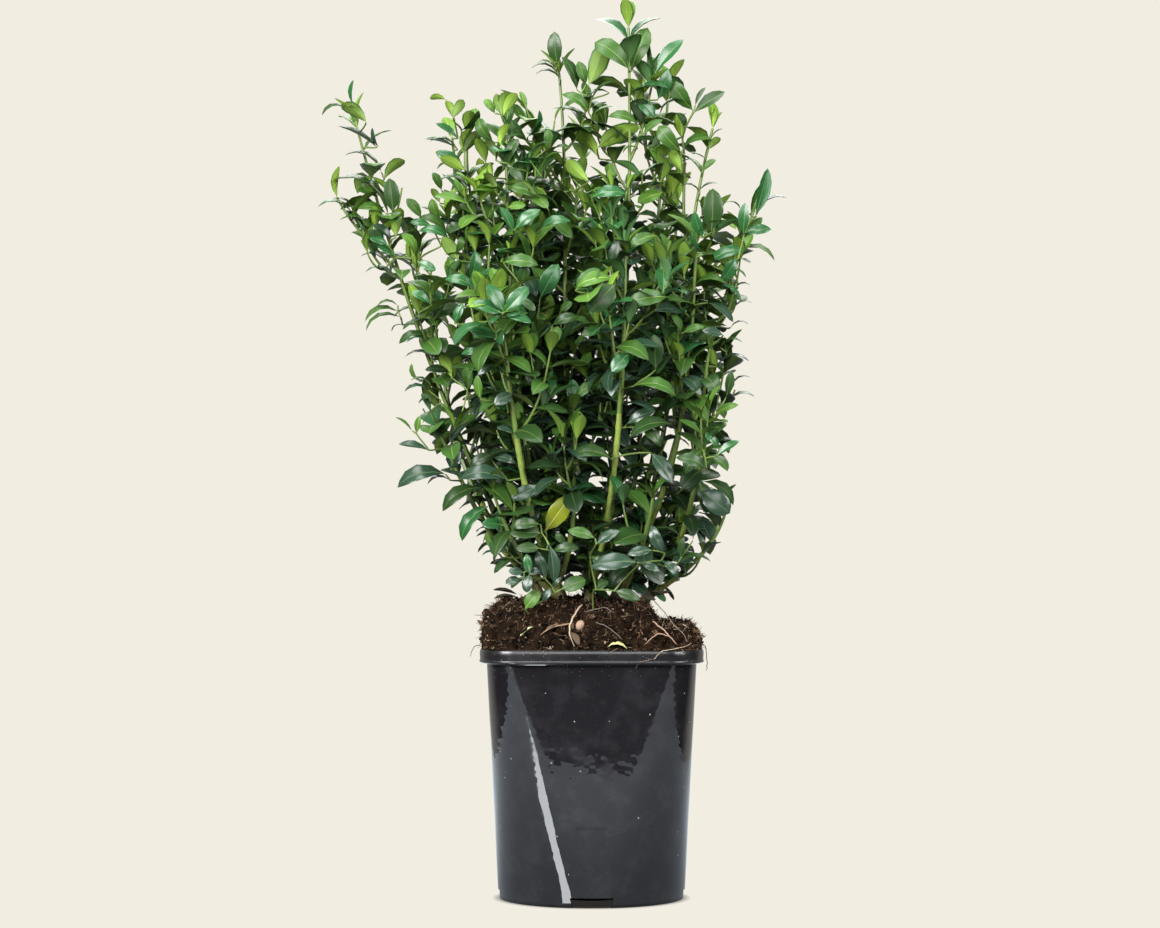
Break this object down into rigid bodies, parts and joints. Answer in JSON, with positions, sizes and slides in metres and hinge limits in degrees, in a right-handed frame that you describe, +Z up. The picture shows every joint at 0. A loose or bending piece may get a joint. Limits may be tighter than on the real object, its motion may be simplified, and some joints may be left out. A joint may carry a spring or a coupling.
{
  "type": "potted boxwood shrub",
  "caption": "Young unclipped boxwood shrub, 0.61 m tall, with eight leafy stems, growing in a filled black plastic nursery pot that is square at the rim and round at the foot.",
  "frame": {"origin": "middle of the pot's underside, where the pad under its floor meets the ground", "axes": "+Z up along the pot's axis, -Y towards the shrub's front, +X to the right seen from the front"},
  "size_m": [0.3138, 0.2805, 0.6129],
  "materials": {
    "pot_plastic": "gloss",
    "potting_soil": "matte",
    "young_bark": "matte",
    "boxwood_leaf": "satin"
  },
  "bodies": {
    "root": {"bough_foot_back_left": "young_bark", "bough_foot_back_right": "young_bark", "bough_foot_front": "young_bark", "bough_foot_left": "young_bark", "bough_foot_right": "young_bark", "bough_front_lobe": "young_bark", "bough_front_right": "young_bark", "bough_inner_centre": "young_bark", "bough_inner_left": "young_bark", "bough_low_front": "young_bark", "bough_low_left": "young_bark", "bough_low_right": "young_bark", "bough_outer_left": "young_bark", "bough_outer_right": "young_bark", "bough_rear_left": "young_bark", "bough_rear_right": "young_bark", "bough_right_lobe": "young_bark", "foliage_back": "boxwood_leaf", "foliage_back_left": "boxwood_leaf", "foliage_back_right": "boxwood_leaf", "foliage_centre": "boxwood_leaf", "foliage_far_right": "boxwood_leaf", "foliage_foot_back_left": "boxwood_leaf", "foliage_foot_back_right": "boxwood_leaf", "foliage_foot_front": "boxwood_leaf", "foliage_foot_left": "boxwood_leaf", "foliage_foot_right": "boxwood_leaf", "foliage_front_left": "boxwood_leaf", "foliage_front_lobe": "boxwood_leaf", "foliage_front_right": "boxwood_leaf", "foliage_inner_centre": "boxwood_leaf", "foliage_inner_left": "boxwood_leaf", "foliage_left": "boxwood_leaf", "foliage_low_front": "boxwood_leaf", "foliage_low_left": "boxwood_leaf", "foliage_low_right": "boxwood_leaf", "foliage_outer_left": "boxwood_leaf", "foliage_outer_right": "boxwood_leaf", "foliage_rear_left": "boxwood_leaf", "foliage_rear_right": "boxwood_leaf", "foliage_right": "boxwood_leaf", "foliage_right_lobe": "boxwood_leaf", "pot": "pot_plastic", "soil": "potting_soil", "stem_back": "young_bark", "stem_back_left": "young_bark", "stem_back_right": "young_bark", "stem_centre": "young_bark", "stem_far_right": "young_bark", "stem_front_left": "young_bark", "stem_left": "young_bark", "stem_right": "young_bark"}
  },
  "joints": []
}
